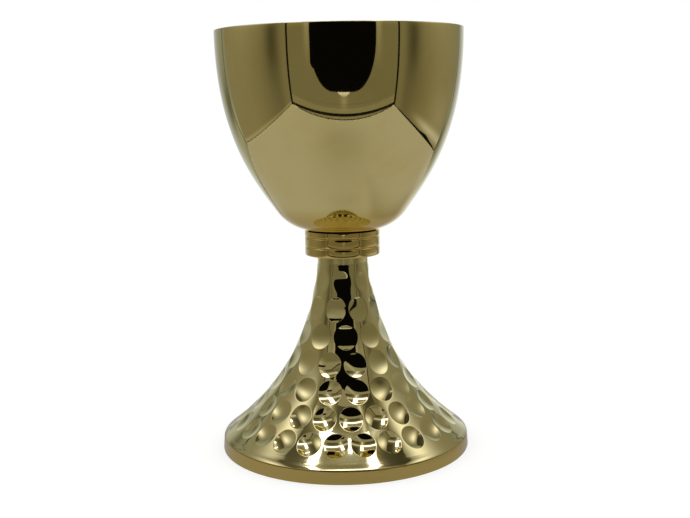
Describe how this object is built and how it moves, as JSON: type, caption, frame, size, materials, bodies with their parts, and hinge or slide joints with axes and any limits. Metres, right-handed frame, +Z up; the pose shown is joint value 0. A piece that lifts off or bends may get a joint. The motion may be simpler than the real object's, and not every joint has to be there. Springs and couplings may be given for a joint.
{
  "type": "chalice",
  "caption": "Polished gold chalice: plain open cup, grooved collar and a hollow flared foot covered with rows of round scooped dimples.",
  "frame": {"origin": "centre of the foot's underside", "axes": "+Z up along the chalice's axis, -Y towards the front"},
  "size_m": [0.1024, 0.1024, 0.17],
  "materials": {
    "cup_gold": "gold plated, mirror polished",
    "collar_gold": "gold plated, turned and polished",
    "foot_gold": "gold plated, polished, with fine turning marks on the brim"
  },
  "bodies": {
    "root": {"cup": "cup_gold", "collar": "collar_gold", "foot": "foot_gold"}
  },
  "joints": []
}
